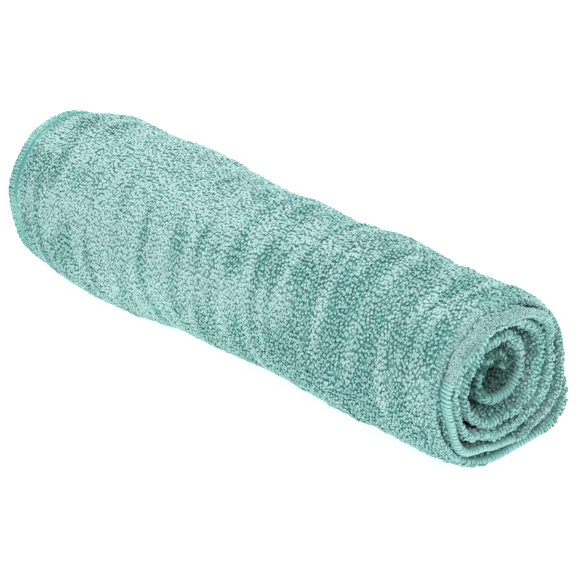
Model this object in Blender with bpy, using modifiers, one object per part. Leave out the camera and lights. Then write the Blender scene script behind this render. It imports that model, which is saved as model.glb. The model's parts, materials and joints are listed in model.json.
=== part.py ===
"""A quick dry towel rolled up on a table: one length of terry cloth wound into a spiral roll.

Metres, +Z up.  The roll lies along X with its near end at +X, and the origin is in the middle of the
flat underside.  The cloth winds outwards anticlockwise as seen from +X, and its loose end rests
against the +Y side.  Every edge of the cloth is bound by an overlock: looper threads wrapped round
the edge, and a needle thread that lies over them.
"""
import math

import bmesh
import bpy
from mathutils import Matrix, Vector

# The towel before it is rolled
TOWEL_WIDTH = 0.350
TOWEL_LENGTH = 0.850
CLOTH_THICKNESS = 0.0058

# How it is rolled
LAYER_GAP = 0.0023
CORE_RADIUS = 0.0030
OUT_OF_ROUND = 0.985
LOWER_SQUARENESS = 2.3
FLATTENING = 0.0030
CORE_SHIFT_SIDE = 0.002
CORE_SHIFT_UP = 0.003
LOOSE_END_ANGLE = -2.0
STEPS_PER_TURN = 24

# The loose end, which lifts off the roll
LOOSE_END_LENGTH = 0.040
HINGE_CLEARANCE = 0.0005
SEAM_HINGE_CLEARANCE = 0.0030

# The overlock seams
SEAM_WIDTH = 0.0060
SEAM_PRESS = 0.0018
SEAM_ROUNDING = 0.0011
NEEDLE_THREAD_RADIUS = 0.00025
NEEDLE_LINE_INSET = 0.0012
TOUCHING_GAP = 0.0003
END_SEAM_CLEARANCE = 0.0008

TEAL_PILE = (0.30, 0.54, 0.50)
TEAL_LOOPER = (0.42, 0.64, 0.60)
TEAL_NEEDLE = (0.24, 0.47, 0.43)

PITCH = CLOTH_THICKNESS + LAYER_GAP
SEAM_THICKNESS = CLOTH_THICKNESS - SEAM_PRESS
OUTER_RADIUS = math.sqrt(TOWEL_LENGTH * PITCH / math.pi + CORE_RADIUS ** 2)
TURNS = (OUTER_RADIUS - CORE_RADIUS) / PITCH
UNDERSIDE_TURN = (LOOSE_END_ANGLE + 90.0) / 360.0
CENTRE_HEIGHT = (OUTER_RADIUS - UNDERSIDE_TURN * PITCH) / OUT_OF_ROUND + CLOTH_THICKNESS / 2 - FLATTENING
END_FACE = TOWEL_WIDTH / 2

# The roll is shifted so that the origin lies midway between its two sides
FAR_SIDE_TURN = (LOOSE_END_ANGLE + 180.0) / 360.0
FAR_SIDE = (OUTER_RADIUS - FAR_SIDE_TURN * PITCH) * OUT_OF_ROUND + CLOTH_THICKNESS / 2
THREAD_LIFT = SEAM_THICKNESS / 2 + TOUCHING_GAP + NEEDLE_THREAD_RADIUS
LOOSE_SIDE = OUTER_RADIUS * OUT_OF_ROUND + THREAD_LIFT + NEEDLE_THREAD_RADIUS
CENTRE_SIDE = (FAR_SIDE - LOOSE_SIDE) / 2


def wrap_point(turn):
    """Middle of the cloth, as (y, z), this many turns in from the loose edge."""
    radius = OUTER_RADIUS - turn * PITCH
    depth = turn / TURNS
    angle = math.radians(LOOSE_END_ANGLE) - turn * math.tau
    across = math.cos(angle)
    up = math.sin(angle)
    power = 2.0 / LOWER_SQUARENESS if up < 0 else 1.0
    half_width = radius * OUT_OF_ROUND
    half_height = radius / OUT_OF_ROUND
    y = half_width * math.copysign(abs(across) ** power, across) + CENTRE_SIDE + CORE_SHIFT_SIDE * depth
    z = half_height * math.copysign(abs(up) ** power, up) + CENTRE_HEIGHT + CORE_SHIFT_UP * depth
    if up < 0:
        layers_below = max(0, math.floor(turn))
        z = max(z, CLOTH_THICKNESS / 2 + layers_below * PITCH)
    return Vector((y, z))


def wrap_lengths(steps_per_turn=240):
    """Turns in from the loose edge, and the length of cloth up to each, for looking one up by the other."""
    count = math.floor(OUTER_RADIUS / PITCH * steps_per_turn)
    turns = [i / steps_per_turn for i in range(count)]
    lengths = [0.0]
    for before, after in zip(turns, turns[1:]):
        lengths.append(lengths[-1] + (wrap_point(after) - wrap_point(before)).length)
    return turns, lengths


TURN_TABLE, LENGTH_TABLE = wrap_lengths()


def turn_at(length):
    """Turns in from the loose edge at this length of cloth."""
    for i in range(1, len(LENGTH_TABLE)):
        if LENGTH_TABLE[i] >= length:
            share = (length - LENGTH_TABLE[i - 1]) / (LENGTH_TABLE[i] - LENGTH_TABLE[i - 1])
            return TURN_TABLE[i - 1] + share * (TURN_TABLE[i] - TURN_TABLE[i - 1])
    raise ValueError("the roll has no room for this much cloth")


def wrap_path(start, stop, lift=0.0):
    """Points along the roll between two lengths of cloth, lifted off the middle of the cloth."""
    first = turn_at(start)
    last = turn_at(stop)
    count = max(2, math.ceil((last - first) * STEPS_PER_TURN))
    nudge = 1e-4  # of a turn, either side of a point, for the direction of the cloth there
    points = []
    for i in range(count + 1):
        turn = first + (last - first) * i / count
        along = (wrap_point(turn + nudge) - wrap_point(turn - nudge)).normalized()
        outward = Vector((-along.y, along.x))
        points.append(wrap_point(turn) + outward * lift)
    return points


def clear_scene():
    for old in list(bpy.data.objects):
        bpy.data.objects.remove(old, do_unlink=True)


def collection(name):
    made = bpy.data.collections.new(name)
    bpy.context.scene.collection.children.link(made)
    return made


def fabric(name, colour, roughness):
    material = bpy.data.materials.new(name)
    material.use_nodes = True
    shader = material.node_tree.nodes["Principled BSDF"]
    shader.inputs["Base Color"].default_value = (*colour, 1.0)
    shader.inputs["Roughness"].default_value = roughness
    shader.inputs["Metallic"].default_value = 0.0
    return material


def roll_frame(name, y=0.0, z=0.0):
    """An empty with its X, Y and Z along world Y, Z and X, so that a flat curve faces along the roll."""
    frame = bpy.data.objects.new(name, None)
    frame.empty_display_size = 0.02
    frame.matrix_world = Matrix(((0, 0, 1, 0), (1, 0, 0, y), (0, 1, 0, z), (0, 0, 0, 1)))
    towel.objects.link(frame)
    return frame


def place(piece, frame, along, material):
    """Parent a piece to its frame, its middle at this place along the roll."""
    piece.parent = frame
    piece.location = (0.0, 0.0, along)
    piece.data.materials.append(material)
    return piece


def spline(curve, points, frame, closed=False):
    """Add points of the roll to a curve as one straight-sided run, seen from the piece's frame."""
    hinge_y, hinge_z = frame.matrix_world.translation.yz
    run = curve.splines.new("POLY")
    run.points.add(len(points) - 1)
    for target, point in zip(run.points, points):
        target.co = (point.x - hinge_y, point.y - hinge_z, 0.0, 1.0)
    run.use_cyclic_u = closed


def as_mesh(name, curve_object):
    """Turn a curve object into a mesh object of the same name, with its touching points joined."""
    evaluated = curve_object.evaluated_get(bpy.context.evaluated_depsgraph_get())
    mesh = bpy.data.meshes.new_from_object(evaluated)
    bpy.data.objects.remove(curve_object, do_unlink=True)
    shape = bmesh.new()
    shape.from_mesh(mesh)
    bmesh.ops.remove_doubles(shape, verts=shape.verts, dist=1e-6)
    bmesh.ops.recalc_face_normals(shape, faces=shape.faces)
    shape.to_mesh(mesh)
    shape.free()
    piece = bpy.data.objects.new(name, mesh)
    towel.objects.link(piece)
    return piece


def flat_curve(name, width):
    """A flat curve that is this wide along the roll."""
    curve = bpy.data.curves.new(name, "CURVE")
    curve.dimensions = "2D"
    curve.extrude = width / 2
    return curve


def ribbon(name, start, stop, width, thickness, along, frame, material):
    """A strip of cloth or seam that follows the roll: an open ribbon with a wall on it."""
    curve = flat_curve(name + "_line", width)
    curve.fill_mode = "NONE"
    spline(curve, wrap_path(start, stop), frame)
    line = bpy.data.objects.new(name + "_line", curve)
    towel.objects.link(line)
    piece = as_mesh(name, line)
    wall = piece.modifiers.new("Wall", "SOLIDIFY")
    wall.thickness = thickness
    wall.offset = 0.0
    wall.use_even_offset = True
    return place(piece, frame, along, material)


def rounded(piece, width):
    """Round the long corners of a seam, and leave its bends as they are."""
    bevel = piece.modifiers.new("Corners", "BEVEL")
    bevel.width = width
    bevel.segments = 1
    bevel.limit_method = "ANGLE"
    bevel.angle_limit = math.radians(60.0)
    return piece


def hinged_cloth(name, start, stop, width, frame, material):
    """The cloth of the loose end: a flat outline whose hinge end is a half circle about the hinge."""
    half = CLOTH_THICKNESS / 2
    outer = wrap_path(start, stop, half)
    inner = wrap_path(start, stop, -half)
    hinge = wrap_point(turn_at(stop))
    first = outer[-1] - hinge
    arc_steps = 8
    arc = []
    for i in range(1, arc_steps):
        turned = Matrix.Rotation(-math.pi * i / arc_steps, 2) @ first
        arc.append(hinge + turned)
    curve = flat_curve(name + "_outline", width)
    curve.fill_mode = "BOTH"
    spline(curve, outer + arc + inner[::-1], frame, closed=True)
    outline = bpy.data.objects.new(name + "_outline", curve)
    towel.objects.link(outline)
    return place(as_mesh(name, outline), frame, 0.0, material)


def thread(name, points, along, frame, material):
    """A sewing thread through points given as (y, z, place along the roll)."""
    hinge_y, hinge_z = frame.matrix_world.translation.yz
    curve = bpy.data.curves.new(name, "CURVE")
    curve.dimensions = "3D"
    curve.bevel_depth = NEEDLE_THREAD_RADIUS
    curve.bevel_resolution = 0
    curve.use_fill_caps = True
    run = curve.splines.new("POLY")
    run.points.add(len(points) - 1)
    for target, (y, z, x) in zip(run.points, points):
        target.co = (y - hinge_y, z - hinge_z, x, 1.0)
    piece = bpy.data.objects.new(name, curve)
    towel.objects.link(piece)
    return place(piece, frame, along, material)


def edge_thread(name, start, stop, along, frame, material):
    """The needle thread of a long edge, which follows the roll on the outer face of the seam."""
    points = [(point.x, point.y, 0.0) for point in wrap_path(start, stop, THREAD_LIFT)]
    return thread(name, points, along, frame, material)


def end_thread(name, length_in, frame, material):
    """The needle thread of a short end, one straight run along the roll on the seam's outer face."""
    point = wrap_path(length_in, length_in + NEEDLE_THREAD_RADIUS, THREAD_LIFT)[0]
    half = END_FACE - SEAM_WIDTH - TOUCHING_GAP
    points = [(point.x, point.y, -half), (point.x, point.y, half)]
    return thread(name, points, 0.0, frame, material)


def end_seam(name, start, frame, material):
    """The overlock along a short end of the cloth, between the two edge seams."""
    length = TOWEL_WIDTH - 2 * (SEAM_WIDTH + TOUCHING_GAP)
    seam = ribbon(name, start, start + SEAM_WIDTH, length, SEAM_THICKNESS, 0.0, frame, material)
    return rounded(seam, SEAM_ROUNDING)


clear_scene()
towel = collection("quick_dry_towel")
pile = fabric("teal_terry_pile", TEAL_PILE, 0.95)
looper = fabric("teal_looper_thread", TEAL_LOOPER, 0.8)
needle = fabric("teal_needle_thread", TEAL_NEEDLE, 0.8)

hinge_point = wrap_point(turn_at(LOOSE_END_LENGTH))
roll = roll_frame("roll_frame")
loose_end = roll_frame("loose_end_hinge", hinge_point.x, hinge_point.y)

# Lengths of cloth, measured in from the loose edge
cloth_starts = SEAM_WIDTH + TOUCHING_GAP
cloth_ends = TOWEL_LENGTH - SEAM_WIDTH - END_SEAM_CLEARANCE
roll_starts = LOOSE_END_LENGTH + CLOTH_THICKNESS / 2 + HINGE_CLEARANCE
seam_stops = LOOSE_END_LENGTH - SEAM_HINGE_CLEARANCE
seam_restarts = LOOSE_END_LENGTH + SEAM_HINGE_CLEARANCE
cloth_width = TOWEL_WIDTH - 2 * (SEAM_WIDTH + TOUCHING_GAP)

ribbon("terry_cloth", roll_starts, cloth_ends, cloth_width, CLOTH_THICKNESS, 0.0, roll, pile)
hinged_cloth("loose_end_cloth", cloth_starts, LOOSE_END_LENGTH, cloth_width, loose_end, pile)
end_seam("inner_end_overlock", TOWEL_LENGTH - SEAM_WIDTH, roll, looper)
end_seam("outer_end_overlock", 0.0, loose_end, looper)
end_thread("inner_end_needle_thread", TOWEL_LENGTH - SEAM_WIDTH + NEEDLE_LINE_INSET, roll, needle)
end_thread("outer_end_needle_thread", SEAM_WIDTH - NEEDLE_LINE_INSET, loose_end, needle)

for side, direction in (("near", 1.0), ("far", -1.0)):
    seam_place = direction * (END_FACE - SEAM_WIDTH / 2)
    thread_place = direction * (END_FACE - SEAM_WIDTH + NEEDLE_LINE_INSET)
    seam = ribbon(side + "_edge_overlock", seam_restarts, TOWEL_LENGTH, SEAM_WIDTH,
                  SEAM_THICKNESS, seam_place, roll, looper)
    rounded(seam, SEAM_ROUNDING)
    seam = ribbon("loose_end_" + side + "_overlock", 0.0, seam_stops, SEAM_WIDTH,
                  SEAM_THICKNESS, seam_place, loose_end, looper)
    rounded(seam, SEAM_ROUNDING)
    edge_thread(side + "_edge_needle_thread", seam_restarts, TOWEL_LENGTH, thread_place, roll, needle)
    edge_thread("loose_end_" + side + "_needle_thread", 0.0, seam_stops, thread_place, loose_end, needle)
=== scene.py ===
# %% [markdown]
# # A quick dry towel, rolled up
#
# The towel is one length of terry cloth: a thin knitted ground that carries a pile of small loops on
# both faces, with an overlock seam whipped round every edge.  Rolled up, the cloth follows a spiral.
# So the lesson goes in this order: the spiral, the ground that follows it, the threads round its
# edges, the loops that stand on it, and then the finishes, the light and the camera.

# %% The frame
import json
import math

import bpy
import numpy as np
from mathutils import Matrix, Vector


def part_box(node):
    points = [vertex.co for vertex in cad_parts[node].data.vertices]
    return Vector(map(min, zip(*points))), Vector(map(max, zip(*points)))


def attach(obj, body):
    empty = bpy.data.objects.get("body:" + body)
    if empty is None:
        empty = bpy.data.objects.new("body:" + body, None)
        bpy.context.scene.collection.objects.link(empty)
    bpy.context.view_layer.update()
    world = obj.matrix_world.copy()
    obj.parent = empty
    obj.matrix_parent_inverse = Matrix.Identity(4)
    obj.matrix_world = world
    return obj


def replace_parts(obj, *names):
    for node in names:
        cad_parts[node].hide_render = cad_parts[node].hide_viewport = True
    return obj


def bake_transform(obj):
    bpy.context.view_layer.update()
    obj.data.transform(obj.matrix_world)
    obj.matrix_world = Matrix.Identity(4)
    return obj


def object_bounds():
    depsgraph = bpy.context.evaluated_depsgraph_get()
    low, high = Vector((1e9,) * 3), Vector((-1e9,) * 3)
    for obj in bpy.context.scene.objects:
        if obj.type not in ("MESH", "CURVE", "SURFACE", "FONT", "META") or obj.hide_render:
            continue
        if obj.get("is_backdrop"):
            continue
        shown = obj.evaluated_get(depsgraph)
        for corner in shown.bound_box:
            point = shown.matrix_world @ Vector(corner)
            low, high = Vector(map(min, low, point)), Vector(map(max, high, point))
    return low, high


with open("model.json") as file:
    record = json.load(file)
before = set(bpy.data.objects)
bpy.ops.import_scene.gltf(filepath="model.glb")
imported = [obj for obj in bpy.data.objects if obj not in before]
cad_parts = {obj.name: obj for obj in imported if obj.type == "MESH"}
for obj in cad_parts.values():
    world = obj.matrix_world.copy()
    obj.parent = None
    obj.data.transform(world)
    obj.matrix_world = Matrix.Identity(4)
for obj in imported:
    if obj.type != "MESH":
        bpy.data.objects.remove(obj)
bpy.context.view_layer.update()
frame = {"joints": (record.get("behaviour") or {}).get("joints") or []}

# %% [markdown]
# ## Sizes
#
# The sizes come from the frame.  The near seam's node gives the length of the roll and the width of
# the seam, and the joint gives the line where the loose end lifts.  The knitted ground is thin, and
# most of the cloth's thickness is the pile on its two faces.

# %% Sizes
seam_low, seam_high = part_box("near_edge_overlock")
roll_half = seam_high[0]
seam_width = seam_high[0] - seam_low[0]
hinge = np.array(frame["joints"][0]["pos_m"])
GROUND_HALF = 0.0012
PILE_HEIGHT = 0.0020
MM = 0.001
print("roll", round(2 * roll_half, 3), "m long, its seams", round(seam_width, 4), "m wide")

# %% [markdown]
# ## The roll as a function of two numbers
#
# A point of the cloth is named by two numbers: how many turns it lies in from the loose edge, and its
# place along the roll.  One function turns them into a point, and every later piece asks it where the
# cloth is.  The function is a sum of smooth shapes, so a few helpers for those come first.

# %% Helpers for smooth shapes


def smooth(low, high, value):
    """0 below low, 1 above high, and an S-shaped ramp between: 3t^2 - 2t^3."""
    share = np.clip((value - low) / (high - low), 0, 1)
    return share * share * (3 - 2 * share)


def hump(middle, half_width, value):
    """1 at the middle, falling to 0 at half_width either side, as a raised cosine."""
    share = np.clip(np.abs(value - middle) / half_width, 0, 1)
    return 0.5 + 0.5 * np.cos(np.pi * share)


def through(places, heights, value):
    """A smooth line through chosen points: a cubic between each two, whose slope at a point is that of
    the line joining its neighbours."""
    places = np.array(places, float)
    heights = np.array(heights, float)
    slopes = np.gradient(heights, places)
    value = np.clip(value, places[0], places[-1])
    before = np.clip(np.searchsorted(places, value, side="right") - 1, 0, len(places) - 2)
    span = places[before + 1] - places[before]
    share = (value - places[before]) / span
    square = share * share
    cube = square * share
    return (
        (2 * cube - 3 * square + 1) * heights[before]
        + (cube - 2 * square + share) * span * slopes[before]
        + (3 * square - 2 * cube) * heights[before + 1]
        + (cube - square) * span * slopes[before + 1]
    )


def ripple(points, wavelength, seed, waves=7):
    """Smooth noise of about -1 to 1: a sum of sine waves in random directions, each near one wavelength."""
    draw = np.random.default_rng(seed)
    heading = draw.normal(size=(waves, 3))
    heading /= np.linalg.norm(heading, axis=1)[:, None]
    heading *= (2 * np.pi / wavelength) * draw.uniform(0.7, 1.5, size=(waves, 1))
    phase = draw.uniform(0, 2 * np.pi, waves)
    return np.sin(points @ heading.T + phase).sum(-1) / math.sqrt(waves)


# %% [markdown]
# ## The edges of the cloth
#
# Rolled by hand, the layers don't end flush.  At the near end the second layer stands out past the
# first, and the core is sunk.  Each edge is a line through a few chosen points, in millimetres beyond
# the end of the roll, against turns in from the loose edge, and both wander a little.

# %% The edges
EDGE_TURNS = [0.03, 0.07, 0.25, 0.5, 0.75, 1.0, 1.25, 1.5, 1.75, 2.0, 2.5, 3.0, 3.5, 4.0, 5.0]
NEAR_STANDS_OUT = [-2.5, 0.8, -0.5, -2.5, -4.5, -2.0, 1.0, 4.0, 6.0, 2.5, 1.5, 0.0, -2.0, -5.0, -9.0]
FAR_STANDS_OUT = [-4.0, -3.0, -7.0, -4.5, 5.0, 1.0, -4.0, -3.0, 2.0, 0, 0, 1.0, 2.0, 1.0, 0]


def wander(turn, seed):
    """A slow sine and two quicker ones, in millimetres."""
    slow = 0.45 * np.sin(turn * 19 + seed)
    quick = 0.30 * np.sin(turn * 47 + 2 * seed)
    return slow + quick + 0.12 * np.sin(turn * 113 + seed)


def near_edge(turn):
    """Place along the roll of the cloth's near edge."""
    return roll_half + (through(EDGE_TURNS, NEAR_STANDS_OUT, turn) + wander(turn, 1.0)) * MM


def far_edge(turn):
    """Place along the roll of the cloth's far edge."""
    return -roll_half - (through(EDGE_TURNS, FAR_STANDS_OUT, turn) + wander(turn, 4.0)) * MM


print("at the second layer the near edge stands out", round((near_edge(1.75) - roll_half) / MM, 1), "mm")

# %% [markdown]
# ## How the layers lie
#
# A spiral of even pitch would look machine made.  Here the radius of the cloth's middle, in
# millimetres, is a line through given points, one line for each end of the roll, and the roll
# slides from one to the other.  The loose edge lies at the +Y side.  A quarter turn further in is the
# underside, a half turn the -Y side, three quarters the top, and then round again.  At the near end
# the two outer rounds are squeezed together on the -Y side, and stand open on the other.

# %% How the layers lie
NEAR_TURNS = [
    0, 0.03, 0.07, 0.11, 0.16, 0.21, 0.25, 0.31, 0.38, 0.5, 0.62, 0.75, 0.88,
    1.0, 1.06, 1.13, 1.25, 1.38, 1.5, 1.62, 1.75, 1.88,
    2.0, 2.13, 2.25, 2.38, 2.5, 2.62, 2.75, 2.88,
    3.0, 3.13, 3.25, 3.38, 3.5, 3.62, 3.75, 3.88,
    4.0, 4.13, 4.25, 4.38, 4.5, 4.62, 4.75, 4.88, 5.0,
]
NEAR_RADII = [
    45.5, 46.5, 48.5, 45, 40, 38.5, 39, 41, 43, 44, 44.5, 43.2, 44.5,
    44, 42, 38, 32.5, 37.5, 39, 40, 38, 35.5,
    28.5, 27, 26, 31, 32.5, 32.5, 32, 30,
    23, 22, 20.5, 25, 25, 24.5, 23, 19.5,
    16, 15, 14, 12, 9.5, 9.5, 9, 7, 4.5,
]
FAR_TURNS = [
    0, 0.1, 0.16, 0.25, 0.5, 0.75, 1.0, 1.25, 1.5, 1.75,
    2.0, 2.25, 2.5, 2.75, 3.0, 3.25, 3.5, 3.75, 4.0, 4.5, 5.0,
]
FAR_RADII = [
    48.5, 50.5, 51, 48.5, 48, 45.5, 42.5, 38.5, 38.5, 35.5,
    31.5, 28, 27, 24, 20.5, 16.5, 15, 12, 9.5, 6.5, 4,
]
FIRST_TURN = 0.03
LAST_TURN = 5.0

# Where hands have squeezed or plumped the roll: place along it, half width, direction in degrees from
# +Y towards the top, and height.  All but the direction are in millimetres.
SWELLS = [
    (-174, 34, 80, -6.5),
    (-128, 34, 80, 0.8),
    (-75, 42, 80, 2.4),
    (-13, 34, 80, -1.3),
    (40, 34, 80, -1.4),
    (76, 32, 80, 1.8),
    (112, 26, 80, -1.2),
    (-100, 60, 215, 2.8),
    (-168, 40, 200, -2.5),
    (22, 45, 215, -1.6),
    (150, 40, 215, 1.4),
]
print(len(NEAR_TURNS), "points for the near end,", len(FAR_TURNS), "for the far end")

# %% [markdown]
# ## The roll
#
# The spiral alone would look like rolled sheet metal.  Cloth sags, swells where a hand let go of it,
# wrinkles across the roll, crumples between the layers and curls at its edge.  Each of those is a small
# move out of or into the roll.  The last step keeps the underside above the surface that it lies on.

# %% The roll
START_ANGLE = -2.0  # degrees
PRESSED_PILE = 0.8  # of its height

# These are all in millimetres.
AXIS_HEIGHT = 48.3
AXIS_DROP = 2.5
AXIS_SHIFT = -1.0
CORE_SHIFT = 4.0
CORE_RISE = 3.0
WRINKLES = 0.45
CURL = 4.2
LAYER_STEP = 5.6


def cloth_middle(turn, x):
    """Middle of the cloth, as points (x, y, z).

    The radius is read from the two lines of radii, and slides from one to the other along the roll.
    The angle runs clockwise from just below the +Y side as seen from +X.  The axis sinks a little and
    the core moves up and aside towards the near end.  What would sink into the surface that the roll
    lies on is lifted to it, by one step for each layer below.
    """
    turn, x = np.broadcast_arrays(np.asarray(turn, float), np.asarray(x, float))
    near = (x + roll_half) / (2 * roll_half)
    far_radius = through(FAR_TURNS, FAR_RADII, turn)
    near_radius = through(NEAR_TURNS, NEAR_RADII, turn)
    radius = (far_radius * (1 - near) + near_radius * near) * MM
    depth = np.maximum(turn, 0) / LAST_TURN
    height = (AXIS_HEIGHT - AXIS_DROP * near) * MM
    angle = math.radians(START_ANGLE) - 2 * np.pi * turn
    direction = np.stack([0 * angle, np.cos(angle), np.sin(angle)], -1)
    points = np.stack([x, 0 * x, height + 0 * x], -1) + direction * radius[..., None]
    points[..., 1] += (AXIS_SHIFT + depth ** 1.5 * near * CORE_SHIFT) * MM
    points[..., 2] += depth ** 1.5 * near * CORE_RISE * MM
    sag = ripple(points, 0.11, 3) * 0.9 + ripple(points, 0.045, 4) * 0.35
    for place, half_width, towards, swell_height in SWELLS:
        facing = np.clip(np.cos(angle - math.radians(towards)), 0, 1) ** 1.5
        sag = sag + swell_height * hump(place * MM, half_width * MM, x) * facing
    wrinkles = ripple(points * np.array([1.0, 0.16, 0.16]), 0.009, 8)
    sag = sag + WRINKLES * wrinkles * smooth(-0.6, 0.6, ripple(points, 0.09, 9))
    inside = smooth(0.8, 1.4, turn)
    crumple = ripple(points, 0.024, 5) * (0.25 + 0.9 * inside) * smooth(2, 4.2, turn + 2 * near)
    curl = hump(0.68, 0.60, turn) * CURL * np.clip(1 - (near_edge(turn) - x) / (11 * MM), 0, 1.3) ** 2
    points = points + direction * ((sag + crumple - curl) * MM)[..., None]
    layers_below = np.floor(np.maximum(turn, 0.0))
    lowest = GROUND_HALF + PILE_HEIGHT * PRESSED_PILE + layers_below * LAYER_STEP * MM
    points[..., 2] = np.where(np.sin(angle) < 0, np.maximum(points[..., 2], lowest), points[..., 2])
    return points


def cloth_frame(turn, x):
    """The cloth's middle, and three unit directions there: along the cloth towards the loose edge, along
    the roll, and out of the roll.  The directions are differences between neighbouring points."""
    step = 1e-3
    middle = cloth_middle(turn, x)
    along = cloth_middle(turn - step, x) - cloth_middle(turn + step, x)
    beside = cloth_middle(turn, x + MM) - cloth_middle(turn, x - MM)
    along /= np.linalg.norm(along, axis=-1, keepdims=True)
    beside /= np.linalg.norm(beside, axis=-1, keepdims=True)
    out = np.cross(beside, along)
    out = -out / np.linalg.norm(out, axis=-1, keepdims=True)
    return middle, along, beside, out


# %% [markdown]
# ## Length along the cloth
#
# Stitches and loops are spaced evenly along the cloth, not by turns.  So the length is measured once,
# halfway along the roll, as the sum of many short steps, and a table leads back from it to turns.

# %% Length along the cloth
turn_table = np.linspace(FIRST_TURN, LAST_TURN, 2000)
line = cloth_middle(turn_table, 0.0)
length_table = np.concatenate([[0], np.cumsum(np.linalg.norm(np.diff(line, axis=0), axis=1))])
towel_length = length_table[-1]


def turn_at(length):
    """Turns in from the loose edge at this length of cloth."""
    return np.interp(length, length_table, turn_table)


print("cloth in the roll:", round(towel_length, 3), "m")

# %% [markdown]
# ## From numbers to a mesh
#
# Every piece is built from whole arrays: rows of points, and faces that join a row to the next.
# The arrays go into the mesh in one step each, which is far quicker than a loop over vertices.

# %% Mesh helpers


def mesh_piece(name, points, quads, triangles=None, body="roll", values=None):
    """Make an object at the origin from arrays of points, quads and triangles, with values stored on
    its points."""
    mesh = bpy.data.meshes.new(name)
    points = np.asarray(points, np.float32).reshape(-1, 3)
    quads = np.asarray(quads, np.int32).reshape(-1, 4)
    triangles = np.asarray([] if triangles is None else triangles, np.int32).reshape(-1, 3)
    mesh.vertices.add(len(points))
    mesh.vertices.foreach_set("co", points.ravel())
    mesh.loops.add(quads.size + triangles.size)
    mesh.loops.foreach_set("vertex_index", np.concatenate([quads.ravel(), triangles.ravel()]))
    mesh.polygons.add(len(quads) + len(triangles))
    starts = np.concatenate([np.arange(len(quads)) * 4, quads.size + np.arange(len(triangles)) * 3])
    mesh.polygons.foreach_set("loop_start", starts.astype(np.int32))
    mesh.update(calc_edges=True)
    mesh.validate()
    mesh.polygons.foreach_set("use_smooth", np.full(len(mesh.polygons), True))
    for label, numbers in (values or {}).items():
        layer = mesh.attributes.new(label, "FLOAT", "POINT")
        layer.data.foreach_set("value", np.asarray(numbers, np.float32).ravel())
    piece = bpy.data.objects.new(name, mesh)
    bpy.context.scene.collection.objects.link(piece)
    if body:
        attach(piece, body)
    return piece


def grid_quads(rows, columns, closed_columns=False):
    """Quads of a grid of points, row after row, wound so that (row step) x (column step) faces out."""
    last = columns if closed_columns else columns - 1
    row, column = np.meshgrid(np.arange(rows - 1), np.arange(last), indexing="ij")
    beside = (column + 1) % columns
    a = row * columns + column
    b = (row + 1) * columns + column
    c = (row + 1) * columns + beside
    d = row * columns + beside
    return np.stack([a, b, c, d], -1).reshape(-1, 4)


def tube(centres, side_a, side_b, radius, sides):
    """A closed tube: rings of points round a path, in the plane of two directions, with a flat cap on
    each end."""
    turn = (np.arange(sides) * 2 * np.pi / sides)[None, :, None]
    ring = np.cos(turn) * side_a[:, None, :] + np.sin(turn) * side_b[:, None, :]
    points = centres[:, None, :] + ring * np.broadcast_to(radius, len(centres))[:, None, None]
    quads = grid_quads(len(centres), sides, closed_columns=True)
    first = np.arange(1, sides - 1)
    start_cap = np.stack([0 * first, first, first + 1], -1)
    end_cap = (len(centres) - 1) * sides + np.stack([0 * first, first + 1, first], -1)
    return points.reshape(-1, 3), quads, np.concatenate([start_cap, end_cap])


# %% [markdown]
# ## The ground
#
# The knitted ground is a closed thin sheet.  Its two faces are the cloth's middle, moved out and in
# by half its thickness, and round its rim the two faces meet.  It is made as one closed loop of
# points carried along the spiral.
#
# Two facts about a place are stored with it, for the finishes to read later: how far the pile is
# pressed flat there, which also sets how much painted light pales it, and how deep in the core it lies,
# where the finishes paint shade because little light gets in.

# %% Ground sheets
HELD_PLACES = [-175, -100, 0, 110, 175]
HELD_AMOUNTS = [-1.0, 0.5, 0.2, -0.8, -0.5]
PATCH_STRETCH = np.array([3.4, 0.9, 0.9])
POINTS_ACROSS = 56
GROUND_STEP = 3.5 * MM
UNDER_SEAM = 1.5 * MM
CORE_Y = 2 * MM
CORE_Z = 48 * MM


def pressed_at(points):
    """How far the pile is pressed flat, 0 to 1: in soft patches, more in the half towards the far end,
    where the hand that rolled the towel held it, and more on top than below."""
    held = through(HELD_PLACES, HELD_AMOUNTS, points[..., 0] / MM)
    held = held + 0.6 * (points[..., 2] - 47 * MM) / (45 * MM)
    return smooth(-0.9, 0.9, ripple(points * PATCH_STRETCH, 0.050, 12) + held)


def painted_core_shade_at(points):
    """How much painted shade a point gets for lying deep in the core: 1 within 9 mm of its axis, 0 beyond
    20 mm.
    """
    return 1 - smooth(9 * MM, 20 * MM, np.hypot(points[..., 1] - CORE_Y, points[..., 2] - CORE_Z))


def ground_sheet(name, first_length, last_length, body):
    """The ground between two lengths of cloth: for each length, a closed loop of points that runs along
    the outer face from the near edge to the far one, and back along the inner face."""
    count = max(8, int((last_length - first_length) / GROUND_STEP))
    lengths = np.linspace(first_length, last_length, count)
    turns = turn_at(lengths)
    share = np.linspace(0, 1, POINTS_ACROSS)
    low = far_edge(turns)[:, None] + UNDER_SEAM
    high = near_edge(turns)[:, None] - UNDER_SEAM
    x = high + (low - high) * share
    middle, along, beside, out = cloth_frame(turns[:, None] + 0 * x, x)
    outer = middle + out * GROUND_HALF
    inner = middle - out * GROUND_HALF
    loop = np.concatenate([outer, inner[:, ::-1]], axis=1)
    rows, columns = loop.shape[:2]
    quads = grid_quads(rows, columns, closed_columns=True)
    half = columns // 2
    place = np.arange(half - 1)
    start_cap = np.stack([place, place + 1, columns - 2 - place, columns - 1 - place], -1)
    end_cap = (rows - 1) * columns + start_cap[:, ::-1]
    faces = np.concatenate([quads, start_cap, end_cap])
    # The core value sets the painted shade in the finishes.
    values = {"pressed": pressed_at(loop), "sunk": painted_core_shade_at(loop)}
    return mesh_piece(name, loop, faces, body=body, values=values)


# %% [markdown]
# ## The overlocked edges
#
# An overlock whips a looper thread round the edge, stitch after stitch, and a needle thread holds
# the loops down along their inner border.  The looper thread is a helix: while it moves along the
# edge by one stitch, it goes once round a flat oval as wide as the seam.  So a tube follows that
# helix, and a soft core under it keeps one from looking through between the stitches.

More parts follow.
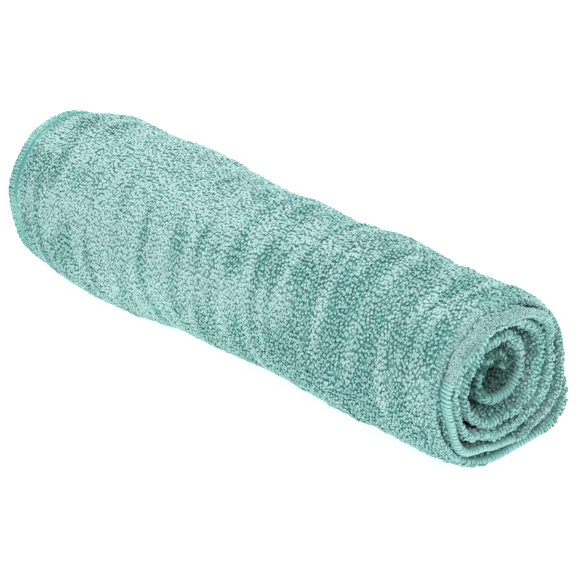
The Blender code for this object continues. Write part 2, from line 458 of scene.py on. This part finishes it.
# %% Paths along the four edges
SEAM_HALF_THICKNESS = 1.95 * MM
STITCH = 1.95 * MM
LOOPER_RADIUS = 0.76 * MM
NEEDLE_RADIUS = 0.28 * MM
FAR_SPREAD = 1.3
FAR_FLATNESS = 0.8
seam_half = seam_width / 2


def near_spread(turns):
    """How much wider than its plain width the near seam lies: by half where the second layer stretches
    round the -Y side and the top."""
    return 1 + 0.50 * hump(1.66, 0.26, turns)


def near_side(length):
    """Along the near edge: the seam's middle, the direction out of the cloth's edge, and the cloth's
    outward one, both longer than 1 where the seam is wider or fatter."""
    turns = turn_at(length)
    spread = near_spread(turns)
    middle, along, beside, out = cloth_frame(turns, near_edge(turns) - seam_half * spread)
    fatter = 1 + 0.15 * hump(1.68, 0.24, turns) + 0.2 * smooth(2.0, 2.6, turns)
    fatter = fatter + 0.7 * hump(4.2, 0.3, turns)
    return middle, beside * spread[..., None], out * fatter[..., None]


def far_side(length):
    """The same for the far edge, which lies flatter and wider."""
    turns = turn_at(length)
    middle, along, beside, out = cloth_frame(turns, far_edge(turns) + seam_half * FAR_SPREAD)
    return middle, -beside * FAR_SPREAD, out * FAR_FLATNESS


def outer_side(x):
    """The same across the loose edge, the outer short side of the towel."""
    turns = turn_at(seam_half + 0 * x)
    middle, along, beside, out = cloth_frame(turns, x)
    return middle, along, out


def inner_side(x):
    """The same across the short side in the core."""
    turns = turn_at(towel_length - seam_half + 0 * x)
    middle, along, beside, out = cloth_frame(turns, x)
    return middle, -along, out


# %% [markdown]
# ## The threads
#
# A curve object with a bevel could draw these threads too.  Rings of points worked out with numpy give
# the same tube, with exactly as many faces as wanted: five sides are enough for a thread this fine.  No
# two stitches are pulled equally tight, so the helix hurries and lingers, and swells a little.

# %% Looper and needle threads
POINTS_PER_STITCH = 14
LOOPER_SIDES = 5
NEEDLE_GAP = 0.3 * MM
NEEDLE_DIP = 0.7 * MM


def looper_helix(side, first, last):
    """Points and directions of a looper thread: the angle grows by a full turn each stitch, and the
    point goes round an oval, |cos|^0.6 wide and sin high, about the seam's middle."""
    count = int(abs(last - first) / STITCH * POINTS_PER_STITCH)
    place = np.linspace(first, last, count)
    angle = 2 * np.pi * np.abs(place - first) / STITCH
    angle = angle + 0.9 * np.sin(place / (4.1 * MM)) + 0.5 * np.sin(place / (1.7 * MM))
    middle, across, out = side(place)
    wide = np.sign(np.cos(angle)) * np.abs(np.cos(angle)) ** 0.6 * (seam_half - LOOPER_RADIUS)
    high = np.sin(angle) * (SEAM_HALF_THICKNESS - LOOPER_RADIUS)
    uneven = 1 + 0.10 * np.sin(angle / 2.3) * np.sin(angle / 17.0 + 1)
    centres = middle + across * (wide * uneven)[:, None] + out * (high * uneven)[:, None]
    radial = across * np.cos(angle)[:, None] + out * np.sin(angle)[:, None]
    return centres, radial


def framed_tube(centres, radial, radius, sides):
    """A tube whose rings lie square to the path: one side follows the given direction, made square to
    the path, and the other is across both."""
    forward = np.gradient(centres, axis=0)
    forward /= np.linalg.norm(forward, axis=1, keepdims=True)
    radial = radial - forward * (radial * forward).sum(1, keepdims=True)
    radial /= np.linalg.norm(radial, axis=1, keepdims=True)
    return tube(centres, radial, np.cross(radial, forward), radius, sides)


def looper(name, side, first, last, body):
    """The looper thread of one stretch of edge."""
    centres, radial = looper_helix(side, first, last)
    points, quads, caps = framed_tube(centres, radial, LOOPER_RADIUS, LOOPER_SIDES)
    travel = np.concatenate([[0], np.cumsum(np.linalg.norm(np.diff(centres, axis=0), axis=1))])
    # The core value sets the painted shade in the thread's finish.
    values = {"travel": np.repeat(travel, LOOPER_SIDES) / MM, "sunk": painted_core_shade_at(points)}
    return mesh_piece(name, points, quads, caps, body=body, values=values)


def seam_core(name, side, first, last, body):
    """The cloth's edge inside the stitches: an oval bar a little smaller than the looper's path."""
    count = max(6, int(abs(last - first) / (2.5 * MM)))
    place = np.linspace(first, last, count)
    middle, across, out = side(place)
    wide = across * (seam_half - LOOPER_RADIUS)
    high = out * (SEAM_HALF_THICKNESS - LOOPER_RADIUS)
    if np.dot(np.cross(wide[0], high[0]), middle[-1] - middle[0]) > 0:
        high = -high
    points, quads, caps = tube(middle, wide, high, 1.0, 12)
    return mesh_piece(name, points, quads, caps, body=body)


def needle(name, side, first, last, body):
    """The needle thread along the seam's inner border: it dips at each stitch hole, its height being the
    size of a sine."""
    count = max(8, int(abs(last - first) / STITCH * 4))
    place = np.linspace(first, last, count)
    middle, across, out = side(place)
    dip = np.abs(np.sin(np.pi * np.abs(place - first) / (2 * STITCH)))
    height = GROUND_HALF + NEEDLE_RADIUS + dip * NEEDLE_DIP
    out = out / np.linalg.norm(out, axis=1, keepdims=True)
    centres = middle - across * (seam_half + NEEDLE_GAP) + out * height[:, None]
    points, quads, caps = framed_tube(centres, out, NEEDLE_RADIUS, 4)
    return mesh_piece(name, points, quads, caps, body=body)


# %% [markdown]
# ## Where the loose end lifts
#
# The joint's line lies inside the cloth, low on the +Y side.  The cloth is parted at that line: what
# lies further in rides on the roll, and the stretch before it is the loose end.  The cloth's place and
# direction at the line, and a point 9 mm along it, are worked out.

# %% The hinge line on the cloth
BEND_LENGTH = 9  # millimetres
distance_to_hinge = np.linalg.norm(line[:, 1:] - hinge[1:], axis=1)
hinge_length = float(length_table[np.argmin(distance_to_hinge[turn_table < 0.4])])
bend_start, bend_along = cloth_frame(turn_at(hinge_length), 0.0)[:2]
bend_end = bend_start + bend_along * BEND_LENGTH * MM
print("the loose end is", round(hinge_length * 1000, 1), "mm long;",
      "the hinge is", round(float(distance_to_hinge.min()) * 1000, 1), "mm from the cloth's middle")


def bends(piece):
    """Bake the transform of a piece of the loose end into its mesh."""
    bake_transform(piece)
    return piece


# %% [markdown]
# ## Sewing it together
#
# The ground comes in two sheets that meet at the joint's line.  Every stretch of seam is the same three
# pieces: a looper thread, the core under it and a needle thread.  One function makes all six stretches.
# A stretch that belongs to no body is left unattached, with its transform baked into its mesh.

# %% The ground and the seams
roll_ground = ground_sheet("roll_ground", hinge_length, towel_length - 2 * MM, "roll")
loose_ground = bends(ground_sheet("loose_end_ground", 2 * MM, hinge_length, None))

loopers, cores, needles = [], [], []


def sew(name, side, first, last, body="roll"):
    """One stretch of seam between two places: along the edge for a long side, along the roll for a
    short one."""
    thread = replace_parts(looper(name + "_looper", side, first, last, body), name + "_overlock")
    core = seam_core(name + "_core", side, first, last, body)
    fine_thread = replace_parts(needle(name + "_needle", side, first, last, body), name + "_needle_thread")
    for group, piece in ((loopers, thread), (cores, core), (needles, fine_thread)):
        group.append(piece if body else bends(piece))


inner_turn = turn_at(towel_length)
across_outer = (far_edge(FIRST_TURN) + seam_width, near_edge(FIRST_TURN) - seam_width)
across_inner = (far_edge(inner_turn) + seam_width, near_edge(inner_turn) - seam_width)
sew("near_edge", near_side, hinge_length, towel_length)
sew("far_edge", far_side, hinge_length, towel_length)
sew("loose_end_near", near_side, 0.0, hinge_length, None)
sew("loose_end_far", far_side, 0.0, hinge_length, None)
sew("outer_end", outer_side, *across_outer, None)
sew("inner_end", inner_side, *across_inner)
print("seams:", sum(len(p.data.polygons) for p in loopers + cores + needles), "faces")

# %% [markdown]
# ## The pile
#
# Terry loops of split microfibre clump into small bent grains, each about as long as a grain of rice
# is wide.  Hair particles would draw fibres, not these blunt grains, so each is a closed bean of thirty
# triangles.  They stand in staggered rows over the cloth, and each is turned, leant and sized a little
# differently, so that the ground shows between, painted dark as the shade between grains.

# %% One grain of pile
GRAIN_SIDES = 5
RING_PLACES = np.array([-0.66, 0.0, 0.66])
RING_RADII = np.array([0.80, 1.0, 0.80])
GRAIN_RINGS = len(RING_PLACES)


def grain_template():
    """A bean: rings of points along it, fat in the middle, and a point closing each end.  Gives the place
    along the bean, the angle round it and the radius of each point, and the faces that join them."""
    angle = np.arange(GRAIN_SIDES) * 2 * np.pi / GRAIN_SIDES
    place = np.concatenate([[-1.0], np.repeat(RING_PLACES, GRAIN_SIDES), [1.0]])
    round_it = np.concatenate([[0.0], np.tile(angle, GRAIN_RINGS), [0.0]])
    radius = np.concatenate([[0.0], np.repeat(RING_RADII, GRAIN_SIDES), [0.0]])
    quads = grid_quads(GRAIN_RINGS, GRAIN_SIDES, closed_columns=True) + 1
    side = np.arange(GRAIN_SIDES)
    beside = (side + 1) % GRAIN_SIDES
    last = GRAIN_SIDES * GRAIN_RINGS + 1
    start = np.stack([0 * side, 1 + side, 1 + beside], -1)[:, ::-1]
    end = np.stack([0 * side + last, last - GRAIN_SIDES + side, last - GRAIN_SIDES + beside], -1)
    return place, round_it, radius, quads, np.concatenate([start, end])


grain_place, grain_angle, grain_radius, grain_quads, grain_caps = grain_template()
print("a grain has", 2 * len(grain_quads) + len(grain_caps), "triangles")

# %% [markdown]
# ## Many grains at once
#
# Thousands of copies as objects would be slow, so all the grains of one area are a single mesh: every
# point of every grain comes out of one sum of arrays.  Where the pile is pressed, its grains lie
# flatter and wider and are combed more alike.

# %% Many grains
GRAIN_LONG = 1.50 * MM
GRAIN_WIDE = 0.86 * MM
GRAIN_LIFT = 0.78 * MM
GRAIN_BEND = -0.42


def grains(name, feet, draw, body, size=1.0):
    """Grains standing on given feet: a foot's place, the direction along the cloth, and the one out of it.

    A point of a grain is its foot, plus its place along the bean, plus its radius round it, less a bend
    that grows as the square of the place, so that both ends turn down into the ground.
    """
    base, along, out = feet
    count = len(base)
    beside = np.cross(out, along)
    comb = ripple(base, 0.030, 11)
    pressed = pressed_at(base)
    # How much painted shade the core gives each grain.
    sunk = painted_core_shade_at(base)
    yaw = 0.40 * comb + (1 - 0.4 * pressed) * draw.normal(0, 0.42, count)
    lean = 0.16 + draw.normal(0, 0.25, count)
    long_half = GRAIN_LONG * size * (1 + 0.25 * pressed) * draw.uniform(0.65, 1.35, count)
    wide_half = GRAIN_WIDE * size * (1 + 0.38 * pressed) * draw.uniform(0.75, 1.25, count)
    high_half = wide_half * (1 - 0.50 * pressed)
    unequal = 1 + (1 - 0.5 * pressed) * draw.uniform(-0.35, 0.35, count)
    lift = GRAIN_LIFT * size * (1.10 - 0.30 * pressed) * unequal
    forward = along * np.cos(yaw)[:, None] + beside * np.sin(yaw)[:, None]
    sideways = np.cross(out, forward)
    ahead = forward * np.cos(lean)[:, None] + out * np.sin(lean)[:, None]
    upward = np.cross(ahead, sideways)
    foot = base + out * lift[:, None]
    bend = GRAIN_BEND * grain_place ** 2
    turn = grain_angle[None, :] + draw.uniform(0, 2 * np.pi, count)[:, None]
    rise = grain_radius * np.sin(turn) * high_half[:, None] + bend * long_half[:, None]
    points = (
        foot[:, None, :]
        + ahead[:, None, :] * (grain_place[None, :] * long_half[:, None])[..., None]
        + sideways[:, None, :] * (grain_radius * np.cos(turn) * wide_half[:, None])[..., None]
        + upward[:, None, :] * rise[..., None]
    )
    height = ((points - base[:, None, :]) * out[:, None, :]).sum(-1)
    each = len(grain_place)
    shift = (np.arange(count) * each)[:, None, None]
    quads = (grain_quads[None] + shift).reshape(-1, 4)
    caps = (grain_caps[None] + shift).reshape(-1, 3)
    values = {
        "tip": np.clip(height / (PILE_HEIGHT * size), 0, 1),
        "chance": np.repeat(draw.uniform(0, 1, count), each),
        "pressed": np.repeat(pressed, each),
        "sunk": np.repeat(sunk, each),
    }
    return mesh_piece(name, points, quads, caps, body=body, values=values)


def on_face(length, x, face):
    """Feet on a face of the cloth: 1 for the outer one, -1 for the inner."""
    middle, along, beside, out = cloth_frame(turn_at(length), x)
    return middle + out * face * GROUND_HALF, along, out * face


def on_seam(side, length, angle, below):
    """Feet all round a seam, where the pile beside it has worked its way over the threads."""
    middle, across, out = side(length)
    forward = np.cross(across, out)
    wide = across * (np.cos(angle) * (seam_half - below))[:, None]
    high = out * (np.sin(angle) * (SEAM_HALF_THICKNESS - below))[:, None]
    normal = across * np.cos(angle)[:, None] + out * np.sin(angle)[:, None]
    normal /= np.linalg.norm(normal, axis=1, keepdims=True)
    forward /= np.linalg.norm(forward, axis=1, keepdims=True)
    return middle + wide + high, forward, normal


# %% [markdown]
# ## Rows of grains
#
# The outer round is what everyone sees, so it has the finest rows, in bands along the roll that keep
# each mesh small.  They are finer still towards the far end, which also looks smoother on the real
# towel.  Inside the roll only what can be seen gets pile: the rest would be millions of hidden faces.

# %% Rows of grains
ROW = 2.20 * MM
FINEST_ROW = 1.72  # millimetres, and so is its growth from band to band
ROW_GROWTH = 0.05
BANDS = 7
BEYOND = 4 * MM
OUTER_ROUND = 1.16  # turns
NEAR_OVERHANG = 1.2 * MM
FAR_BARE_STRIP = 3.4 * MM
MORE_IN_CORE = 22 * MM


def rows(first, last, low, high, draw, row=ROW):
    """Places for grains between two lengths of cloth and two places along the roll: staggered rows, each
    place moved a little at random."""
    lengths = np.arange(first + row / 2, last, row)
    length, x = np.meshgrid(lengths, np.arange(low + row / 2, high, row), indexing="ij")
    x = x + (np.arange(len(length)) % 2)[:, None] * row / 2
    length = length + draw.uniform(-0.42, 0.42, length.shape) * row
    x = x + draw.uniform(-0.24, 0.24, x.shape) * row
    return length.ravel(), x.ravel()


def on_cloth(length, x):
    """Which places have pile: it hangs a little over the near seam, and leaves a bare strip beside the
    far one."""
    turns = turn_at(length)
    below_near = x < near_edge(turns) - seam_width * near_spread(turns) + NEAR_OVERHANG
    return below_near & (x > far_edge(turns) + seam_width * FAR_SPREAD + FAR_BARE_STRIP)


one_round = float(np.interp(OUTER_ROUND, turn_table, length_table))
pile = []
draw = np.random.default_rng(21)
edges = np.linspace(-roll_half - BEYOND, roll_half + BEYOND, BANDS + 1)
for band in range(BANDS):
    row = (FINEST_ROW + ROW_GROWTH * band) * MM
    length, x = rows(hinge_length, one_round, edges[band], edges[band + 1], draw, row)
    keep = on_cloth(length, x)
    feet = on_face(length[keep], x[keep], 1.0)
    pile.append(grains("pile_outer_%d" % (band + 1), feet, draw, "roll", size=row / ROW))

# The loose end has pile on both faces.
for label, face in (("outer", 1.0), ("inner", -1.0)):
    length, x = rows(seam_width + 1 * MM, hinge_length, edges[0], edges[-1], draw)
    keep = on_cloth(length, x)
    pile.append(bends(grains("pile_loose_" + label, on_face(length[keep], x[keep], face), draw, None)))

# Inside the roll only the strips next to the two edges can be seen, and more of them in the open core.
for end, depth in (("near", 12 * MM), ("far", 9 * MM)):
    for label, face, first in (("outer", 1.0, one_round), ("inner", -1.0, hinge_length)):
        low, high = edges[0] - 2 * BEYOND, edges[-1] + 2 * BEYOND
        length, x = rows(first, towel_length - seam_width, low, high, draw)
        keep = on_cloth(length, x)
        turns = turn_at(length)
        rim = (near_edge(turns) - x) if end == "near" else (x - far_edge(turns))
        keep &= rim < seam_width + depth + MORE_IN_CORE * smooth(2.6, 3.2, turns)
        feet = on_face(length[keep], x[keep], face)
        pile.append(grains("pile_%s_%s" % (end, label), feet, draw, "roll", size=0.95))

# %% [markdown]
# ## Pile that has worked its way over the seams
#
# The loops beside a seam lean over it.  Here they hide its beads all over the inner rounds
# and on the outer side of the first, and lie as a fine fleece where the second round is stretched.

# %% Pile over the seams
ALL_ROUND = (0.0, 2 * math.pi)
OVERHANGS = [
    # label, side, first and last turn, first and last angle round the seam, millimetres each, size
    ("inner_rounds", near_side, (1.85, 4.02), ALL_ROUND, 0.30, 0.85),
    ("core", near_side, (4.36, LAST_TURN), ALL_ROUND, 0.34, 0.85),
    ("rim", near_side, (0.28, 1.13), (0.15 * math.pi, 0.95 * math.pi), 0.30, 0.80),
    ("wall", near_side, (0.80, 1.20), (-0.6 * math.pi, 0.5 * math.pi), 0.30, 0.80),
    ("band", near_side, (1.55, 1.90), (-0.15 * math.pi, 0.85 * math.pi), 0.045, 0.45),
    ("hem", near_side, (FIRST_TURN, 0.135), ALL_ROUND, 0.20, 0.72),
    ("far", far_side, (0.16, 1.05), (0.0, 0.9 * math.pi), 0.16, 0.50),
]
GRAIN_SINK = 0.7 * MM
for label, side, turns, angles, spacing, size in OVERHANGS:
    ends = np.interp(turns, turn_table, length_table)
    count = int((ends[1] - ends[0]) / (spacing * MM))
    length = draw.uniform(*ends, count)
    angle = draw.uniform(*angles, count)
    feet = on_seam(side, length, angle, GRAIN_SINK * size)
    over = grains("pile_over_" + label, feet, draw, None if label == "hem" else "roll", size=size)
    pile.append(bends(over) if label == "hem" else over)
grain_count = sum(len(p.data.vertices) for p in pile) // len(grain_place)
print("pile:", grain_count, "grains,", sum(len(p.data.loop_triangles) for p in pile), "triangles")

# %% [markdown]
# ## Finishes
#
# A finish is a small graph of nodes.  Written as sums and products of sockets, it reads like the
# formula that it is.  The wrapper below turns each Python operator into the Math node that does it.
# Fibres scatter light and hardly mirror it, so every finish starts with a weak specular.

# %% The shader wrapper
FIBRE_SPECULAR = 0.1


class Wire:
    """A number that varies over a surface: one output socket, with the usual operators."""

    def __init__(self, finish, socket):
        self.finish = finish
        self.socket = socket

    def maths(self, operation, first, second=None):
        """A Math node on one or two values, each a number or a Wire."""
        inputs = {0: first} if second is None else {0: first, 1: second}
        return self.finish.add("ShaderNodeMath", {"operation": operation}, inputs)

    def __add__(self, other):
        return self.maths("ADD", self, other)

    def __radd__(self, other):
        return self.maths("ADD", other, self)

    def __sub__(self, other):
        return self.maths("SUBTRACT", self, other)

    def __rsub__(self, other):
        return self.maths("SUBTRACT", other, self)

    def __mul__(self, other):
        return self.maths("MULTIPLY", self, other)

    def __rmul__(self, other):
        return self.maths("MULTIPLY", other, self)

    def sine(self):
        return self.maths("SINE", self)


class Finish:
    """A material under construction, with a Principled shader at its end."""

    def __init__(self, name):
        self.material = bpy.data.materials.new(name)
        self.material.use_nodes = True
        self.tree = self.material.node_tree
        self.tree.nodes.clear()
        self.shader = self.tree.nodes.new("ShaderNodeBsdfPrincipled")
        self.shader.inputs["Specular IOR Level"].default_value = FIBRE_SPECULAR
        output = self.tree.nodes.new("ShaderNodeOutputMaterial")
        self.tree.links.new(self.shader.outputs["BSDF"], output.inputs["Surface"])

    def plug(self, socket, value):
        """Link a Wire to a socket, or set the socket to a plain value."""
        if isinstance(value, Wire):
            self.tree.links.new(value.socket, socket)
        else:
            socket.default_value = value

    def add(self, kind, settings=None, inputs=None, output=0):
        """Add a node: its settings first, then what goes into its sockets.  Gives one of its outputs."""
        node = self.tree.nodes.new(kind)
        for name, value in (settings or {}).items():
            setattr(node, name, value)
        for name, value in (inputs or {}).items():
            self.plug(node.inputs[name], value)
        return Wire(self, node.outputs[output])

    def attribute(self, name):
        """A value that was stored on the points of the mesh."""
        return self.add("ShaderNodeAttribute", {"attribute_name": name}, output="Fac")

    def noise(self, scale, detail=2.0, stretch=(1, 1, 1)):
        """Noise in the object's own coordinates, which are metres here."""
        place = self.add("ShaderNodeTexCoord", output="Object")
        place = self.add("ShaderNodeMapping", {}, {"Vector": place, "Scale": stretch})
        return self.add("ShaderNodeTexNoise", {}, {"Vector": place, "Scale": scale, "Detail": detail})

    def ramp(self, value, low, high):
        """0 where the value is below low, 1 above high, smooth between."""
        settings = {"interpolation_type": "SMOOTHSTEP"}
        return self.add("ShaderNodeMapRange", settings, {"Value": value, "From Min": low, "From Max": high})

    def blend(self, share, first, second):
        """Mix two colours: the first where the share is 0, the second where it is 1."""
        settings = {"data_type": "RGBA"}
        return self.add("ShaderNodeMix", settings, {0: share, 6: first, 7: second}, output=2)

    def bump(self, height, strength, distance):
        """Tilt the light by a height, which at this scale is finer than the mesh can show."""
        inputs = {"Height": height, "Strength": strength, "Distance": distance}
        return self.add("ShaderNodeBump", {}, inputs)

    def shade(self, **values):
        """Set the shader's own sockets, named in Python's way."""
        for name, value in values.items():
            self.plug(self.shader.inputs[name.replace("_", " ").title()], value)
        return self.material


def paint(pieces, material):
    """Give pieces a material."""
    for piece in pieces:
        piece.data.materials.clear()
        piece.data.materials.append(material)


# %% [markdown]
# ## Colours of the terry
#
# The dye is one pale teal.  What varies is painted light and shade: the tips are painted pale as if
# lit and the roots of open pile dark as if shaded, pressed pile is painted paler, its roots paler still
# as a painted fill that cancels the shade between its grains, and the core is painted almost black as
# the shade where next to no light comes back.  Each grain and soft patches also differ a little in
# tone.  A little subsurface and a teal sheen soften the grains, as light does that runs along fibres.

# %% Pile finish
# Painted shade at the roots of open pile and on the ground under it, and also the needle thread's own
# darker tone.
TEAL_DEEP_TONE_AND_SHADE = (0.080, 0.330, 0.290, 1.0)
# Painted fill light at the roots of pressed pile, paler than its tips, that cancels the shade between its
# grains.
TEAL_ROOT_PAINTED_FILL = (0.420, 0.640, 0.615, 1.0)
TEAL_STRIP = (0.200, 0.490, 0.450, 1.0)
TEAL = (0.240, 0.520, 0.480, 1.0)
TEAL_PALE = (0.360, 0.565, 0.550, 1.0)
# Painted shade deep in the core.
TEAL_PAINTED_CORE_SHADE = (0.002, 0.075, 0.060, 1.0)
TEAL_THREAD = (0.350, 0.580, 0.560, 1.0)

terry = Finish("terry pile")
tip = terry.ramp(terry.attribute("tip"), 0.0, 0.9)
chance = terry.attribute("chance")
pressed = terry.attribute("pressed")
patches = terry.ramp(terry.noise(38.0, 3.0, stretch=(1.8, 1, 1)), 0.35, 0.70)
fibres = terry.noise(2600.0)
# Colour at the roots: painted shade where the pile stands open, a painted fill where it is pressed.
root_painted_shade_and_fill = terry.blend(pressed, TEAL_DEEP_TONE_AND_SHADE, TEAL_ROOT_PAINTED_FILL)
# Painted light: paler towards the tips and where the pile is pressed; each grain's chance and the soft
# patches are random tone.
lit = tip * (0.75 + 0.25 * chance) + 0.12 * patches - 0.08 + 0.14 * pressed
colour = terry.blend(lit, root_painted_shade_and_fill, TEAL_PALE)
# Painted shade in the core.
colour = terry.blend(terry.attribute("sunk") * 0.85, colour, TEAL_PAINTED_CORE_SHADE)
terry_finish = terry.shade(
    base_color=colour,
    roughness=0.92,
    subsurface_weight=0.4,
    subsurface_scale=0.0012,
    subsurface_radius=(1.0, 1.0, 1.0),
    sheen_weight=0.30,
    sheen_roughness=0.45,
    sheen_tint=(0.45, 0.95, 0.88, 1.0),
    normal=terry.bump(fibres, 0.5, 0.0004),
)

# %% [markdown]
# ## Colours of the ground and the threads
#
# The ground is the same yarn, seen deep between the grains.  Where the pile stands open it is painted
# darker, as the shade between the grains, and in the core darker still as painted shade; it has a
# knit's fine grain.  The looper threads are textured yarn with pale and deep turns along their length,
# which is why their meshes carry the distance travelled; in the core they get a little painted shade.
# The needle threads are thin and plain.

# %% Ground and thread finishes
knit = Finish("terry ground")
stitches = knit.noise(900.0, 1.0)
# Painted shade: the ground is darker where the pile stands open.
colour = knit.blend(knit.attribute("pressed"), TEAL_DEEP_TONE_AND_SHADE, TEAL_STRIP)
colour = knit.blend(stitches * 0.5, colour, TEAL)
# Painted shade in the core.
colour = knit.blend(knit.attribute("sunk") * 0.8, colour, TEAL_PAINTED_CORE_SHADE)
ground_finish = knit.shade(base_color=colour, roughness=0.95, normal=knit.bump(stitches, 0.6, 0.0006))

thread = Finish("looper thread")
wrap = (thread.attribute("travel") * 3.1).sine() * 0.5 + 0.5
uneven = thread.noise(60.0)
colour = thread.blend(0.35 + 0.30 * uneven + 0.25 * wrap, TEAL, TEAL_THREAD)
# Painted shade in the core.
colour = thread.blend(thread.attribute("sunk") * 0.35, colour, TEAL_PAINTED_CORE_SHADE)
thread_finish = thread.shade(base_color=colour, roughness=0.85, sheen_weight=0.2,
                             normal=thread.bump(wrap, 0.35, 0.0003))

fine = Finish("needle thread")
# Random tone between a deep and a mid teal.
colour = fine.blend(fine.noise(300.0, 1.0), TEAL_DEEP_TONE_AND_SHADE, TEAL)
needle_finish = fine.shade(base_color=colour, roughness=0.8)

# %% [markdown]
# ## Who wears what
#
# The core under the loopers is cloth to the eye, so it wears the ground's finish.

# %% Painting
paint(pile, terry_finish)
paint([roll_ground, loose_ground], ground_finish)
paint(loopers, thread_finish)
paint(cores, ground_finish)
paint(needles, needle_finish)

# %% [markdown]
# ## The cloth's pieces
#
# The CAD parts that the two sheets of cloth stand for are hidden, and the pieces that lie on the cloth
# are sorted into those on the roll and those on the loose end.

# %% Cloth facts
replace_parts(roll_ground, "terry_cloth")
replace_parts(loose_ground, "loose_end_cloth")
on_cloth_pieces = pile + loopers + cores + needles
of_loose_end = [p for p in on_cloth_pieces if any(part in p.name for part in ("loose", "outer_end", "hem"))]
of_roll = [p for p in on_cloth_pieces if p not in of_loose_end]
print(len(of_roll), "pieces lie on the roll's cloth,", len(of_loose_end), "on the loose end's")

# %% [markdown]
# ## Floor, light and camera
#
# The towel lies on a plain white surface in soft light, and a long lens looks down on it.  The surface
# glows a little, so that it stays white round the towel and lights its underside, as a white sweep in a
# studio does.  A long lens from far away keeps the two ends at nearly the same scale.

# %% Floor
bpy.ops.mesh.primitive_plane_add(size=12, location=(0, 0, 0))
floor = bpy.context.object
floor.name = "floor"
floor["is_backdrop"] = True
white = Finish("white surface")
floor.data.materials.append(white.shade(base_color=(0.9, 0.9, 0.9, 1.0), roughness=0.9,
                                        emission_color=(1, 1, 1, 1), emission_strength=0.74))

# %% [markdown]
# ## Light
#
# An even white world fills the shadows.  One large soft light above gives the grains their small
# shadows, and a weaker one beside the camera keeps the near end readable.

# %% Light
scene = bpy.context.scene
scene.view_settings.view_transform = "Standard"
world = bpy.data.worlds.new("studio")
scene.world = world
world.use_nodes = True
world.node_tree.nodes["Background"].inputs["Color"].default_value = (1, 1, 1, 1)
world.node_tree.nodes["Background"].inputs["Strength"].default_value = 0.70
TOWEL_MIDDLE = Vector((0, 0, 0.04))


def soft_light(name, place, size, power):
    """A square area light that faces the towel's middle."""
    lamp = bpy.data.lights.new(name, "AREA")
    lamp.size = size
    lamp.energy = power
    holder = bpy.data.objects.new(name, lamp)
    holder.location = place
    away = Vector(place) - TOWEL_MIDDLE
    holder.rotation_euler = away.to_track_quat("Z", "Y").to_euler()
    scene.collection.objects.link(holder)


soft_light("light above", (-0.35, 0.25, 1.75), 1.0, 26)
soft_light("light beside the camera", (1.6, -0.6, 1.0), 0.9, 11)

# %% [markdown]
# ## Camera
#
# The camera's three directions come from two angles: the azimuth from the -Y side towards +X, and the
# elevation.  They are the columns of its rotation, and it stands back from its target along the third.

# %% Camera
azimuth = math.radians(49.4)
elevation = math.radians(23.5)
distance = 1.7
target = Vector((0, 0, 0.044))
right = Vector((math.cos(azimuth), math.sin(azimuth), 0))
level = math.cos(elevation)
back = Vector((math.sin(azimuth) * level, -math.cos(azimuth) * level, math.sin(elevation)))
up = back.cross(right)
lens = bpy.data.cameras.new("camera")
lens.sensor_width = 36
lens.lens = 199.6
lens.shift_x = 0.0290
lens.shift_y = -0.0147
camera = bpy.data.objects.new("camera", lens)
scene.collection.objects.link(camera)
turned = Matrix((right, up, back)).transposed().to_4x4()
camera.matrix_world = Matrix.Translation(target + back * distance) @ turned
scene.camera = camera
print("camera at", [round(x, 2) for x in camera.matrix_world.translation])

# %% [markdown]
# ## The last step
#
# The box round everything that is shown is measured.

# %% Finish
low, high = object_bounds()
